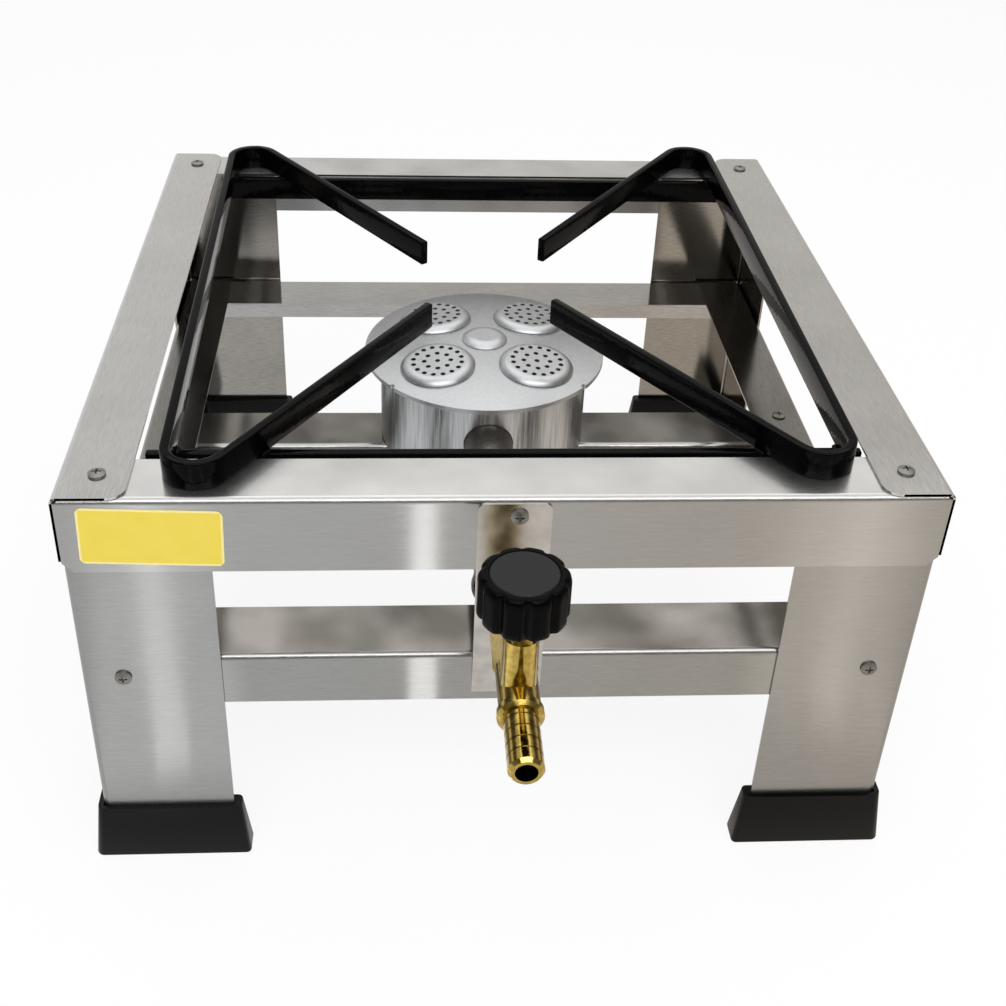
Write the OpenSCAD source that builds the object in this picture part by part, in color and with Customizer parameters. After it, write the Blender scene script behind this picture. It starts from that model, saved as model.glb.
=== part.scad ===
// High-pressure gas burner: a bent stainless stand, a round burner on a cross bar,
// a lift-off grate and a brass needle valve with a hose barb at the front.
// X runs to the right, Y to the back and Z up. The floor is Z = 0.

/* [Stand] */
// Width of the stand over its side rails
stand_w = 400; // [360:5:600]
// Depth of the stand over its front and back rails
stand_d = 400; // [360:5:600]
// Height of the side rails' top above the floor
stand_h = 222.5; // [190:0.5:320]
// Thickness of the stainless sheet
sheet_t = 1.2; // [0.8:0.1:1.6]
// Outside radius of every bend in the sheet
bend_r = 3; // [2.4:0.2:4]
// Width of each rail's top flange
rail_top_w = 32; // [28:1:38]
// Height of the front and back rails' faces
rail_face_h = 39.3; // [32:0.1:42]
// Height of the side rails' faces
side_face_h = 34.4; // [26:0.1:40]
// Radius of the side rails' inner corners
rail_corner_r = 8; // [3:1:12]
// Bevel on the lower corners of the front and back rails
rail_bevel = 5; // [2:0.5:8]
// Width of each leg's two panels
leg_w = 65.6; // [50:0.2:76]

/* [Feet] */
// Height of a foot
foot_h = 31; // [24:1:40]
// Thickness of a foot's floor under the leg
foot_floor = 3; // [2:0.5:6]
// How far a foot's top edge reaches outside the leg
foot_wall = 2.8; // [1.6:0.2:4]
// How far a foot reaches outside the leg at the floor
foot_flare = 6; // [5:0.5:9]
// How far a foot's top edge reaches inside the leg's outer face
foot_arm = 6; // [4:0.5:20]
// How far a foot reaches inside the leg's outer face at the floor
foot_arm_flare = 8.5; // [5:0.5:24]
// How far a foot's top edge reaches past the ends of the leg's panels
foot_end = 4; // [2:0.5:8]
// How far a foot reaches past the ends of the leg's panels at the floor
foot_end_flare = 7.5; // [3:0.5:12]

/* [Braces] */
// How far the front and back braces' top lies below the stand's top
brace_drop = 93.5; // [90:0.5:120]
// Height of the braces' faces
brace_face_h = 29; // [24:1:34]
// Width of the front and back braces' top flange
brace_top_w = 36; // [30:1:42]
// Width of the side braces' top flange
side_brace_top_w = 31; // [28:1:38]
// Width of the burner bar's top flange
bar_top_w = 36; // [30:1:44]
// How far the burner bar's screws sit in front of or behind its middle
bar_screw_y = 12; // [0:1:13]

/* [Screws] */
// Diameter of the stand's screws
screw_d = 4; // [3:0.5:5]
// Diameter of a screw's pan head
screw_head_d = 8; // [6.6:0.2:9]
// Height of a screw's pan head
screw_head_h = 2; // [1.7:0.1:3]
// Thickness of a nut
nut_t = 3.2; // [2.4:0.1:4]
// Size of a nut across its flats
nut_flats = 7; // [6:0.5:8]
// Distance of the rail screws from the stand's sides
rail_screw_x = 17.6; // [14:0.2:22]
// Distance of the rail screws from the stand's front and back
rail_screw_y = 18.2; // [14:0.2:24]
// Distance of the leg screws from the stand's corners
leg_screw_in = 20.6; // [16:0.2:30]
// How far the leg screws sit below the braces' top
leg_screw_drop = 11; // [9:0.5:15]
// Distance of the burner bar's screws from the stand's sides
bar_screw_in = 16.6; // [14:0.2:24]

/* [Grate] */
// Clearance from the grate's front and back bars to the front and back rails
grate_gap = 4; // [2:0.5:8]
// Clearance from those bars' ends to the side rails, with the grate in the middle
grate_side_gap = 2; // [2:0.5:6]
// How far right of the middle the grate lies in that clearance
grate_shift = 1.5; // [-1.5:0.5:1.5]
// Height of the grate's flat bar
grate_bar_h = 14.2; // [10:0.2:20]
// Thickness of the grate's flat bar
grate_bar_t = 4.5; // [3:0.1:6]
// Distance from the stand's front and back to the hairpins' bends
hairpin_reach = 12; // [8:0.5:16]
// Distance from the lower bars' ends to the middle of a hairpin's straight run
hairpin_inset = 9.5; // [7:0.5:14]
// Radius of a hairpin's bends, to the middle of the bar
hairpin_r = 14; // [9:0.5:18]
// Sideways distance from the grate's middle to the left arms' tips
left_tip_x = 35; // [26:0.5:45]
// Sideways distance from the grate's middle to the right arms' tips
right_tip_x = 32; // [26:0.5:45]
// Distance from the middle forwards or back to an arm's tip
tip_y = 37.5; // [28:0.5:50]
// How far forward the left hairpin was welded
left_hairpin_forward = 5.5; // [0:0.5:7]
// Turn of the left hairpin from square, in degrees
left_hairpin_turn = 0.8; // [0:0.1:1.4]
// How far back the right hairpin was welded
right_hairpin_back = 1; // [0:0.5:2]

/* [Burner] */
// How far right of the middle the burner sits
burner_x = 0; // [-2:0.5:2]
// Diameter of the burner's drum
drum_d = 119; // [116:1:130]
// Height of the burner's drum
drum_h = 52.8; // [48:0.2:56]
// Thickness of the drum's wall
drum_wall = 3.5; // [2.5:0.5:5]
// Thickness of the drum's floor
drum_floor = 4; // [3:0.5:6]
// How far the burner's cap reaches past the drum all round
cap_overhang = 9; // [6.5:0.5:11]
// Thickness of the cap's plate
cap_t = 2.5; // [2:0.1:3.5]
// How far the cap's plate swells up in the middle
crown_h = 6; // [4:0.5:8]
// Distance between the middles of neighbouring domes
dome_pitch = 55; // [53:0.5:58]
// Diameter of a dome at its foot
dome_d = 42; // [40:0.5:44]
// Diameter of a dome's flat top
dome_top_d = 31; // [30.4:0.2:32]
// Height of a dome above the plate
dome_h = 3.4; // [2.8:0.2:4.4]
// Thickness of a dome's top
dome_wall = 2; // [1.4:0.1:2.4]
// Diameter of a flame port
port_d = 2.8; // [1.6:0.1:3.2]
// Radius of the inner ring of ports
port_ring_in = 7.4; // [6:0.1:8]
// Radius of the outer ring of ports
port_ring_out = 13.6; // [12:0.1:13.8]
// Diameter of the cap's centre boss
boss_d = 26; // [22:0.5:28]
// Diameter of the centre boss's flat top
boss_top_d = 14; // [10:0.5:18]
// Height of the cap's centre boss
boss_h = 2.8; // [2:0.2:4]
// Diameter of the burner bolt
bolt_d = 8; // [6:0.5:9]

/* [Gas line] */
// How far right of the middle the valve and its bracket sit
line_x = 2; // [0:0.5:4]
// Height of the gas line above the braces' top
line_rise = 27; // [26:0.5:28]
// Outside diameter of the mixing tube
tube_d = 26.6; // [24:0.2:28]
// Wall of the mixing tube
tube_wall = 2; // [1.2:0.1:3]
// Outside diameter of the mixing tube's bell
bell_d = 30; // [28.6:0.2:32]
// Distance from the front rail's face back to the bell
bell_in = 20; // [16:0.5:30]
// Width of the valve bracket
bracket_w = 33; // [28:0.5:40]
// Thickness of the valve bracket
bracket_t = 1.5; // [1:0.1:2]
// Radius of the valve bracket's top corners
bracket_r = 3.5; // [1:0.5:6]
// How far the bracket reaches down behind the front brace's top
bracket_foot_drop = 23; // [16:0.5:28]

/* [Valve] */
// Distance from the bracket to the middle of the spindle
spindle_out = 50; // [46:0.5:60]
// Diameter of the valve's round body
body_d = 18.6; // [17:0.2:20]
// Diameter of the valve's threaded shank
shank_d = 13; // [12:0.2:15]
// Size of the body's hexagon across its flats
body_flats = 17.6; // [16:0.2:20]
// Diameter of the spindle boss
spindle_boss_d = 15.7; // [15.2:0.1:17]
// Height of the spindle boss's top above the gas line
spindle_boss_h = 32; // [30:0.5:36]
// Diameter of the spindle
spindle_d = 6; // [5.4:0.1:6.4]
// Diameter of the spindle's thread
thread_d = 7.8; // [7.4:0.1:8.2]
// Outside diameter of the hose barb
barb_d = 15.5; // [14.2:0.1:17]
// Bore of the hose barb
barb_bore = 9.7; // [7:0.1:10.4]
// Length of the hose barb in front of its collar
barb_len = 30; // [24:0.5:40]
// Diameter of the hose barb's collar
collar_d = 20.7; // [18:0.1:24]
// Thickness of the hose barb's collar
collar_t = 5.5; // [3:0.5:8]
// Diameter of the bore of the injector's jet
jet_d = 1.2; // [0.8:0.1:1.6]

/* [Knob] */
// Diameter of the knob
knob_d = 39; // [34:0.5:46]
// Height of the knob
knob_h = 21; // [20:0.5:26]
// Height of the knob's underside above the gas line
knob_rise = 44; // [43:0.5:50]
// Number of flutes round the knob
flutes = 10; // [6:1:14]
// Radius of the cutter that makes a flute
flute_r = 3.4; // [2:0.1:5]
// Depth of a flute
flute_depth = 1.7; // [0.8:0.1:2.4]
// Diameter of the disc in the knob's top
disc_d = 29.6; // [24:0.2:31]

/* [Sticker] */
// Width of the blank sticker on the front rail
sticker_w = 63.4; // [40:0.2:80]
// Height of the blank sticker
sticker_h = 30; // [20:0.5:31]
// Distance from the stand's side to the sticker's middle
sticker_in = 41.7; // [41.5:0.1:60]
// Tilt of the sticker, in degrees
sticker_tilt = 2; // [0:0.5:2]

/* [Hidden] */
$fn = 64;

// Small clearances
eps = 0.5;
hole_gap = 0.2;
thread_gap = 0.05;
run_gap = 0.08;
slot_gap = 0.15;
port_gap = 0.4;

// Levels of the stand
half_w = stand_w / 2;
half_d = stand_d / 2;
rail_z = stand_h - sheet_t;
leg_top_z = rail_z - bend_r;
brace_z = stand_h - brace_drop;
leg_screw_z = brace_z - leg_screw_drop;
brace_end = 2 * sheet_t + bend_r;

// Grate
grate_x = half_w - rail_top_w - grate_side_gap;
grate_y = half_d - rail_top_w - grate_gap;
run_x = grate_x - hairpin_inset;
bend_y = half_d - hairpin_reach - grate_bar_t / 2 - hairpin_r;
bend_steps = 24;

// Burner
burner_y = 1;
drum_r = drum_d / 2;
cap_d = drum_d + 2 * cap_overhang;
cap_z = brace_z + drum_h;
plate_z = cap_z + cap_t;
post_wall = 4;
post_r = bolt_d / 2 + post_wall;
post_drop = 6;
crown_r = (cap_d * cap_d / 4 + crown_h * crown_h) / (2 * crown_h);
bolt_cover = 2.2;
bolt_end_z = plate_z + crown_h - bolt_cover;
washer_r = bolt_d * 1.5;
washer_t = 1.6;
bolt_head_h = 5.3;
bolt_flats = 13;
nick_angle = 219;
nick_r = 1.8;
raised_foot = 0.3;
raised_ledge = 0.1;
raised_sink = 1;
ports_in = 8;
ports_out = 16;

// Gas line, from the burner forwards
line_z = brace_z + line_rise;
tube_r = tube_d / 2;
bell_y = -half_d + bell_in;
bell_len = 8;
bell_lip = 2;
bell_edge = 1.2;
tube_in_drum = 12;
tube_back_y = burner_y - drum_r + tube_in_drum;
bracket_y = -half_d - bracket_t;
bracket_top_drop = 2;
bracket_top_z = rail_z - bracket_top_drop;
bracket_knee_rise = 2;
bracket_knee_z = brace_z + bracket_knee_rise;
bracket_foot_z = brace_z - bracket_foot_drop;
bracket_screw_drop = 6.4;
bracket_screw_z = bracket_top_z - bracket_screw_drop;
bracket_screw_x = line_x + 2;
spindle_y = bracket_y - spindle_out;
lock_nut_t = 6;
lock_nut_flats = 20;
shank_past_nut = 4;
shank_back_y = -half_d + lock_nut_t + shank_past_nut;
shoulder_d = 22;
shoulder_t = 4;
body_front = 12.2;
body_front_y = spindle_y - body_front;
round_behind_boss = 5.5;
hex_y = spindle_y + spindle_boss_d / 2 + round_behind_boss;
barb_front_y = body_front_y - collar_t - barb_len;
spigot_d = 10.9;
spigot_len = 6;
inlet_d = 5;
inlet_drop = 2.8;
outlet_d = 3.6;
outlet_rise = 4.4;
seat_rise = 2.4;
seat_r = 1.25;
socket_d = 8;
socket_len = 6;

// Spindle levels
boss_top_z = line_z + spindle_boss_h;
gland_bore_d = 11;
gland_bore_len = 4.6;
gland_flats = 14;
gland_hex_h = 8;
thread_rise = 12;
thread_z = line_z + thread_rise;
thread_len = 10;
seal_rise = 2.1;
seal_z = thread_z + thread_len + seal_rise;
seal_groove_r = 2.35;
seal_wire_r = 0.7;
seal_mid_r = (seal_groove_r + thread_d / 2 + thread_gap) / 2;

// Knob levels
knob_z = line_z + knob_rise;
knob_top_z = knob_z + knob_h;
disc_t = 1.8;
knob_web_t = 1.5;
spindle_in_knob = 13;
spindle_top_z = knob_z + spindle_in_knob;
web_top_z = spindle_top_z + knob_web_t;
knob_screw_r = 1.5;

// The overall box is centred on the origin, from the barb's front to the back feet
origin_y = (-barb_front_y - (half_d - sheet_t + foot_flare)) / 2;

// Puts a piece that is drawn about the stand's middle into the model's own frame
module in_frame() {
    translate([0, origin_y, 0]) children();
}

// Draws a back left piece at any corner of the stand
module corner(side, end) {
    mirror([side > 0 ? 1 : 0, 0, 0])
        mirror([0, end < 0 ? 1 : 0, 0])
            children();
}

// Outline of a bent angle: a flange along +X and a face along -Y from the corner
module angle_outline(face_h, top_w) {
    translate([bend_r, -sheet_t]) square([top_w - bend_r, sheet_t]);
    translate([0, -face_h]) square([sheet_t, face_h - bend_r]);
    translate([bend_r, -bend_r]) intersection() {
        difference() {
            circle(bend_r);
            circle(bend_r - sheet_t);
        }
        translate([-bend_r, 0]) square(bend_r);
    }
}

// Bent angle that runs along X, with its face at Y = 0 and its flange towards +Y
module angle_bar(len, face_h, top_w) {
    rotate([90, 0, 90])
        linear_extrude(len, center = true)
            angle_outline(face_h, top_w);
}

// Cuts a radius on an upright edge whose material lies towards -X and -Y
module round_edge(r, h) {
    difference() {
        translate([-r, -r, -eps]) cube([r + eps, r + eps, h + 2 * eps]);
        translate([-r, -r, -2 * eps]) cylinder(r = r, h = h + 4 * eps);
    }
}

// Upright hole through a sheet whose top is at the origin
module sheet_hole(d) {
    translate([0, 0, -sheet_t - eps])
        cylinder(d = d + 2 * hole_gap, h = sheet_t + 2 * eps);
}

// Pan-head screw: its seat is at the origin, its head above and its shank below
module pan_screw(len) {
    recess = screw_head_d * 0.5;
    recess_w = 0.9;
    recess_deep = 1.2;
    difference() {
        union() {
            intersection() {
                cylinder(d = screw_head_d, h = screw_head_h);
                translate([0, 0, screw_head_h - screw_head_d]) sphere(screw_head_d);
            }
            translate([0, 0, -len]) cylinder(d = screw_d, h = len + eps);
        }
        for (turn = [0, 90])
            rotate([0, 0, turn])
                translate([-recess / 2, -recess_w / 2, screw_head_h - recess_deep])
                    cube([recess, recess_w, recess_deep + eps]);
    }
}

// Hexagon nut below the origin
module hex_nut(flats, t, d) {
    translate([0, 0, -t]) difference() {
        cylinder(d = flats / cos(30), h = t, $fn = 6);
        translate([0, 0, -eps]) cylinder(d = d + 2 * thread_gap, h = t + 2 * eps);
    }
}

// Length of a screw through two sheets and its nut
screw_len = 2 * sheet_t + nut_t + 1.4;

// Places of the four rail screws, on the side rails' top
module at_rail_screws() {
    for (side = [-1, 1], end = [-1, 1])
        translate([side * (half_w - rail_screw_x), end * (half_d - rail_screw_y), stand_h])
            children();
}

// Places of the leg screws on the outer faces of the legs, with +Z outwards
module at_leg_screws() {
    for (side = [-1, 1], end = [-1, 1]) {
        translate([side * (half_w - leg_screw_in), end * (half_d - sheet_t), leg_screw_z])
            rotate([-end * 90, 0, 0]) children();
        translate([side * (half_w - sheet_t), end * (half_d - leg_screw_in), leg_screw_z])
            rotate([0, side * 90, 0]) children();
    }
}

// Places of the burner bar's screws, on the side braces' top
module at_bar_screws() {
    for (side = [-1, 1])
        translate([side * (half_w - bar_screw_in), burner_y + bar_screw_y, brace_z + sheet_t])
            children();
}

// Front rail about its own middle: the back rail is the same piece turned round
module cross_rail() {
    rail_len = stand_w - 2 * sheet_t;
    difference() {
        translate([0, -half_d, rail_z]) angle_bar(rail_len, rail_face_h, rail_top_w);
        for (side = [-1, 1]) {
            translate([side * half_w, -half_d, rail_z])
                cube([2 * bend_r, 3 * rail_top_w, 2 * (bend_r - sheet_t)], center = true);
            translate([side * rail_len / 2, -half_d, rail_z - rail_face_h])
                rotate([0, 45, 0])
                    cube([rail_bevel * sqrt(2), 4 * sheet_t, rail_bevel * sqrt(2)], center = true);
            translate([side * (half_w - rail_screw_x), -half_d + rail_screw_y, rail_z])
                sheet_hole(screw_d);
        }
    }
}

module front_rail() {
    color("#B9BABC") in_frame() difference() {
        cross_rail();
        translate([bracket_screw_x, -half_d, bracket_screw_z])
            rotate([90, 0, 0]) cylinder(d = screw_d + 2 * hole_gap, h = 4 * sheet_t, center = true);
    }
}

module back_rail() {
    color("#B9BABC") in_frame() rotate([0, 0, 180]) cross_rail();
}

// Left side rail, with both inner corners of its top flange rounded
module side_rail() {
    difference() {
        translate([-half_w, 0, stand_h])
            rotate([0, 0, -90]) angle_bar(stand_d, side_face_h, rail_top_w);
        for (end = [-1, 1])
            mirror([0, end < 0 ? 1 : 0, 0]) {
                translate([-half_w + rail_top_w, half_d, stand_h - sheet_t])
                    round_edge(rail_corner_r, sheet_t);
                translate([-half_w + rail_screw_x, half_d - rail_screw_y, stand_h])
                    sheet_hole(screw_d);
            }
    }
}

module left_side_rail() {
    color("#C2C2C3") in_frame() side_rail();
}

module right_side_rail() {
    color("#C2C2C3") in_frame() mirror([1, 0, 0]) side_rail();
}

// Back left leg: a bent angle on end, with a screw hole in each panel
module leg() {
    difference() {
        translate([-half_w + sheet_t, half_d - sheet_t, foot_floor])
            linear_extrude(leg_top_z - foot_floor)
                angle_outline(leg_w, leg_w);
        translate([-half_w + leg_screw_in, half_d - sheet_t, leg_screw_z])
            rotate([90, 0, 0]) cylinder(d = screw_d + 2 * hole_gap, h = 4 * sheet_t, center = true);
        translate([-half_w + sheet_t, half_d - leg_screw_in, leg_screw_z])
            rotate([0, 90, 0]) cylinder(d = screw_d + 2 * hole_gap, h = 4 * sheet_t, center = true);
    }
}

module front_left_leg() {
    color("#BDBEC0") in_frame() corner(-1, -1) leg();
}

module front_right_leg() {
    color("#BDBEC0") in_frame() corner(1, -1) leg();
}

module back_left_leg() {
    color("#BDBEC0") in_frame() corner(-1, 1) leg();
}

module back_right_leg() {
    color("#BDBEC0") in_frame() corner(1, 1) leg();
}

// Long block with two slanting sides, drawn along Y, from one distance to another
module slanted_block(low_from, low_to, top_from, top_to, h) {
    rotate([90, 0, 0])
        linear_extrude(4 * leg_w, center = true)
            polygon([[low_from, 0], [low_to, 0], [top_to, h], [top_from, h]]);
}

// What the same slanting sides leave between them along X and along Y
module slanted_corner(low_from, low_to, top_from, top_to, h) {
    intersection() {
        slanted_block(low_from, low_to, top_from, top_to, h);
        rotate([0, 0, -90]) slanted_block(low_from, low_to, top_from, top_to, h);
    }
}

// Back left foot: an angle-shaped cap that flares to the floor, with a slot for the leg
module foot() {
    slot_t = sheet_t + 2 * slot_gap;
    slot_len = leg_w + 2 * slot_gap;
    arm_slant = (foot_arm_flare - foot_arm) / foot_h;
    translate([-half_w + sheet_t, half_d - sheet_t, 0]) difference() {
        slanted_corner(
            -foot_flare, leg_w + foot_end_flare, -foot_wall, leg_w + foot_end, foot_h
        );
        translate([0, 0, -eps])
            slanted_corner(
                foot_arm_flare + eps * arm_slant, 2 * leg_w,
                foot_arm - eps * arm_slant, 2 * leg_w, foot_h + 2 * eps
            );
        translate([-slot_gap, slot_gap - slot_len, foot_floor])
            cube([slot_t, slot_len, foot_h]);
        translate([-slot_gap, slot_gap - slot_t, foot_floor])
            cube([slot_len, slot_t, foot_h]);
    }
}

module front_left_foot() {
    color("#161616") in_frame() corner(-1, -1) foot();
}

module front_right_foot() {
    color("#161616") in_frame() corner(1, -1) foot();
}

module back_left_foot() {
    color("#161616") in_frame() corner(-1, 1) foot();
}

module back_right_foot() {
    color("#161616") in_frame() corner(1, 1) foot();
}

// Front brace inside the leg panels: the back brace is the same piece turned round
module cross_brace() {
    difference() {
        translate([0, -half_d + 2 * sheet_t, brace_z])
            angle_bar(stand_w - 2 * brace_end, brace_face_h, brace_top_w);
        for (side = [-1, 1])
            translate([side * (half_w - leg_screw_in), -half_d + 2 * sheet_t, leg_screw_z])
                rotate([90, 0, 0])
                    cylinder(d = screw_d + 2 * hole_gap, h = 4 * sheet_t, center = true);
    }
}

module front_brace() {
    color("#C6C7C9") in_frame() cross_brace();
}

module back_brace() {
    color("#C6C7C9") in_frame() rotate([0, 0, 180]) cross_brace();
}

// Left brace: its flange laps over the cross braces and the burner bar
module side_brace() {
    difference() {
        translate([-half_w + 2 * sheet_t, 0, brace_z + sheet_t])
            rotate([0, 0, -90])
                angle_bar(stand_d - 2 * brace_end, brace_face_h + sheet_t, side_brace_top_w);
        for (end = [-1, 1])
            translate([-half_w + 2 * sheet_t, end * (half_d - leg_screw_in), leg_screw_z])
                rotate([0, 90, 0])
                    cylinder(d = screw_d + 2 * hole_gap, h = 4 * sheet_t, center = true);
        translate([-half_w + bar_screw_in, burner_y + bar_screw_y, brace_z + sheet_t])
            sheet_hole(screw_d);
    }
}

module left_brace() {
    color("#C6C7C9") in_frame() side_brace();
}

module right_brace() {
    color("#C6C7C9") in_frame() mirror([1, 0, 0]) side_brace();
}

module burner_bar() {
    color("#C6C7C9") in_frame() difference() {
        translate([0, burner_y - bar_top_w / 2, brace_z])
            angle_bar(stand_w - 2 * brace_end, brace_face_h, bar_top_w);
        translate([burner_x, burner_y, brace_z]) sheet_hole(bolt_d);
        translate([0, 0, -sheet_t]) at_bar_screws() sheet_hole(screw_d);
    }
}

module rail_screws() {
    color("#9A9A9A") in_frame() at_rail_screws() pan_screw(screw_len);
}

module rail_nuts() {
    color("#8E8E8E") in_frame() at_rail_screws()
        translate([0, 0, -2 * sheet_t]) hex_nut(nut_flats, nut_t, screw_d);
}

module leg_screws() {
    color("#9A9A9A") in_frame() at_leg_screws() pan_screw(screw_len);
}

module leg_nuts() {
    color("#8E8E8E") in_frame() at_leg_screws()
        translate([0, 0, -2 * sheet_t]) hex_nut(nut_flats, nut_t, screw_d);
}

module bar_screws() {
    color("#9A9A9A") in_frame() at_bar_screws() pan_screw(screw_len);
}

module bar_nuts() {
    color("#8E8E8E") in_frame() at_bar_screws()
        translate([0, 0, -2 * sheet_t]) hex_nut(nut_flats, nut_t, screw_d);
}

// Cast drum: an open cup with a bored centre post and a port for the mixing tube
module burner_base() {
    foot_bevel = 1.5;
    color("#C9CACC") in_frame() translate([burner_x, burner_y, brace_z]) difference() {
        union() {
            rotate_extrude()
                polygon([
                    [0, 0], [drum_r - foot_bevel, 0], [drum_r, foot_bevel],
                    [drum_r, drum_h], [drum_r - drum_wall, drum_h],
                    [drum_r - drum_wall, drum_floor], [0, drum_floor]
                ]);
            cylinder(r = post_r, h = drum_h - post_drop);
        }
        translate([0, 0, -eps]) cylinder(d = bolt_d + 2 * hole_gap, h = drum_h);
        translate([0, 0, line_rise]) rotate([90, 0, 0])
            cylinder(r = tube_r + port_gap, h = drum_d);
    }
}

// Round raised boss: a flat top with a rounded shoulder down to a foot sunk in the plate
module raised_round(r, top_r, h) {
    run = r - top_r - raised_ledge;
    rise = h - raised_foot;
    round_r = (run * run + rise * rise) / (2 * rise);
    rotate_extrude() {
        translate([0, -raised_sink]) square([r, raised_foot + raised_sink]);
        square([top_r, h]);
        translate([top_r, h - round_r]) intersection() {
            circle(round_r, $fn = 96);
            translate([0, round_r - rise]) square([2 * run, 2 * rise]);
        }
    }
}

// Places of the four domes on the crowned plate, each tilted to stand square on it
module at_domes() {
    lean = asin(dome_pitch / sqrt(2) / crown_r);
    for (turn = [45 : 90 : 315])
        translate([0, 0, cap_t + crown_h - crown_r])
            rotate([0, 0, turn]) rotate([0, lean, 0])
                translate([0, 0, crown_r]) rotate([0, 0, -turn])
                    children();
}

// One dome's flame ports: one in the middle and two rings round it
module dome_ports() {
    deep = dome_h + 2 * eps;
    cylinder(d = port_d, h = deep, $fn = 20);
    for (i = [0 : ports_in - 1])
        rotate([0, 0, i * 360 / ports_in])
            translate([port_ring_in, 0, 0]) cylinder(d = port_d, h = deep, $fn = 20);
    for (i = [0 : ports_out - 1])
        rotate([0, 0, (i + 0.5) * 360 / ports_out])
            translate([port_ring_out, 0, 0]) cylinder(d = port_d, h = deep, $fn = 20);
}

// Shallow crown of a ball, drawn up to its top
module crown(r, ball_r, top_z) {
    intersection() {
        cylinder(r = r, h = top_z + eps);
        translate([0, 0, top_z - ball_r]) sphere(ball_r, $fn = 320);
    }
}

// Cap of the burner: a crowned plate with four ported domes, a centre boss and two rim nicks
module burner_cap() {
    seat_in = drum_r - drum_wall - 2;
    shoulder = (dome_d - dome_top_d) / 2;
    dome_bore_r = dome_d / 2 - shoulder / 2 - raised_foot;
    color("#D2D3D5") in_frame() translate([burner_x, burner_y, cap_z]) difference() {
        union() {
            difference() {
                crown(cap_d / 2, crown_r, cap_t + crown_h);
                translate([0, 0, -eps]) crown(seat_in, crown_r - cap_t, crown_h + eps);
            }
            at_domes() raised_round(dome_d / 2, dome_top_d / 2, dome_h);
            translate([0, 0, cap_t + crown_h]) raised_round(boss_d / 2, boss_top_d / 2, boss_h);
            translate([0, 0, -post_drop]) cylinder(r = post_r, h = post_drop + crown_h + eps);
        }
        at_domes() translate([0, 0, -2 * cap_t])
            cylinder(r = dome_bore_r, h = 2 * cap_t + dome_h - dome_wall);
        at_domes() dome_ports();
        translate([0, 0, -post_drop - eps])
            cylinder(d = bolt_d + 2 * thread_gap, h = bolt_end_z - cap_z + post_drop + eps);
        for (angle = [nick_angle, 540 - nick_angle])
            rotate([0, 0, angle]) translate([cap_d / 2, 0, -eps])
                cylinder(r = nick_r, h = 2 * cap_t, $fn = 24);
    }
}

// Bolt from below the burner bar, through the drum's post and into the cap
module burner_bolt() {
    seat_h = brace_z - sheet_t - washer_t;
    color("#A4A4A4") in_frame() translate([burner_x, burner_y, seat_h]) {
        cylinder(d = bolt_d, h = bolt_end_z - seat_h);
        translate([0, 0, -bolt_head_h])
            cylinder(d = bolt_flats / cos(30), h = bolt_head_h, $fn = 6);
    }
}

module bolt_washer() {
    color("#A4A4A4") in_frame() translate([burner_x, burner_y, brace_z - sheet_t - washer_t])
        difference() {
            cylinder(r = washer_r, h = washer_t);
            translate([0, 0, -eps]) cylinder(d = bolt_d + 2 * hole_gap, h = washer_t + 2 * eps);
        }
}

// Turns a piece that is drawn along +Z so that it lies on the gas line and points forwards
module on_gas_line(y) {
    translate([line_x, y, line_z]) rotate([90, 0, 0]) children();
}

// Mixing tube: a plain pipe into the drum, with a bell towards the injector
module mixing_tube() {
    tube_len = tube_back_y - bell_y;
    bore_r = tube_r - tube_wall;
    bell_r = bell_d / 2;
    color("#8F9193") in_frame() translate([burner_x, tube_back_y, line_z])
        rotate([90, 0, 0]) rotate_extrude() polygon([
            [bore_r, 0], [tube_r, 0], [tube_r, tube_len - bell_len],
            [bell_r, tube_len - bell_lip], [bell_r, tube_len],
            [bell_r - bell_edge, tube_len], [bore_r, tube_len - bell_len]
        ]);
}

// Polished strip from the front rail down to the front brace
module valve_bracket() {
    face_y = -half_d;
    foot_y = -half_d + 2 * sheet_t;
    color("#D0CECC") in_frame() difference() {
        translate([line_x, 0, 0]) rotate([90, 0, 90])
            linear_extrude(bracket_w, center = true)
                polygon([
                    [face_y, bracket_top_z], [face_y, bracket_knee_z], [foot_y, bracket_foot_z],
                    [foot_y - bracket_t, bracket_foot_z], [bracket_y, bracket_knee_z],
                    [bracket_y, bracket_top_z]
                ]);
        for (side = [-1, 1])
            translate([line_x + side * bracket_w / 2, face_y + eps, bracket_top_z])
                rotate([90, 0, 0]) mirror([side < 0 ? 1 : 0, 0, 0])
                    round_edge(bracket_r, bracket_t + 2 * eps);
        on_gas_line(face_y + eps) cylinder(d = shank_d + 2 * hole_gap, h = bracket_t + 2 * eps);
        translate([bracket_screw_x, face_y + eps, bracket_screw_z]) rotate([90, 0, 0])
            cylinder(d = screw_d + 2 * hole_gap, h = bracket_t + 2 * eps);
    }
}

module bracket_screw() {
    color("#9A9A9A") in_frame() translate([bracket_screw_x, bracket_y, bracket_screw_z])
        rotate([90, 0, 0]) pan_screw(bracket_t + sheet_t + nut_t + 1.4);
}

module bracket_nut() {
    color("#8E8E8E") in_frame() translate([bracket_screw_x, -half_d + sheet_t, bracket_screw_z])
        rotate([90, 0, 0]) hex_nut(nut_flats, nut_t, screw_d);
}

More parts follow.
